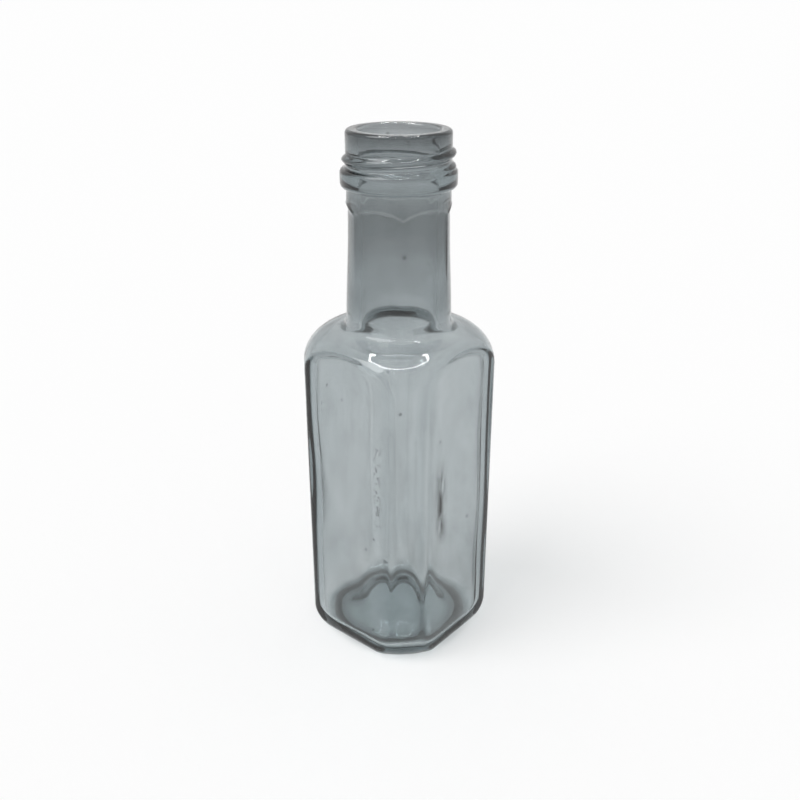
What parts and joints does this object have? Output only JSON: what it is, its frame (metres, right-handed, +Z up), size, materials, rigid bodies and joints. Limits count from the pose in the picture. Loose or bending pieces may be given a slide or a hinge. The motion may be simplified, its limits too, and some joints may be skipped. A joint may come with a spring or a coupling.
{
  "type": "glass bottle",
  "caption": "Small clear glass bottle for oil or sauce: square body with flattened corners, round shoulder, neck with six soft panels and an open screw mouth.",
  "frame": {"origin": "centre of the base, on the plane the bottle stands on", "axes": "+Z up along the bottle's upright axis, +X and +Y square to two neighbouring side faces"},
  "size_m": [0.0408, 0.0408, 0.135],
  "materials": {
    "clear_glass": "smooth, faint cool grey tint, slightly wavy"
  },
  "bodies": {
    "root": {"bottle": "clear_glass"}
  },
  "joints": []
}
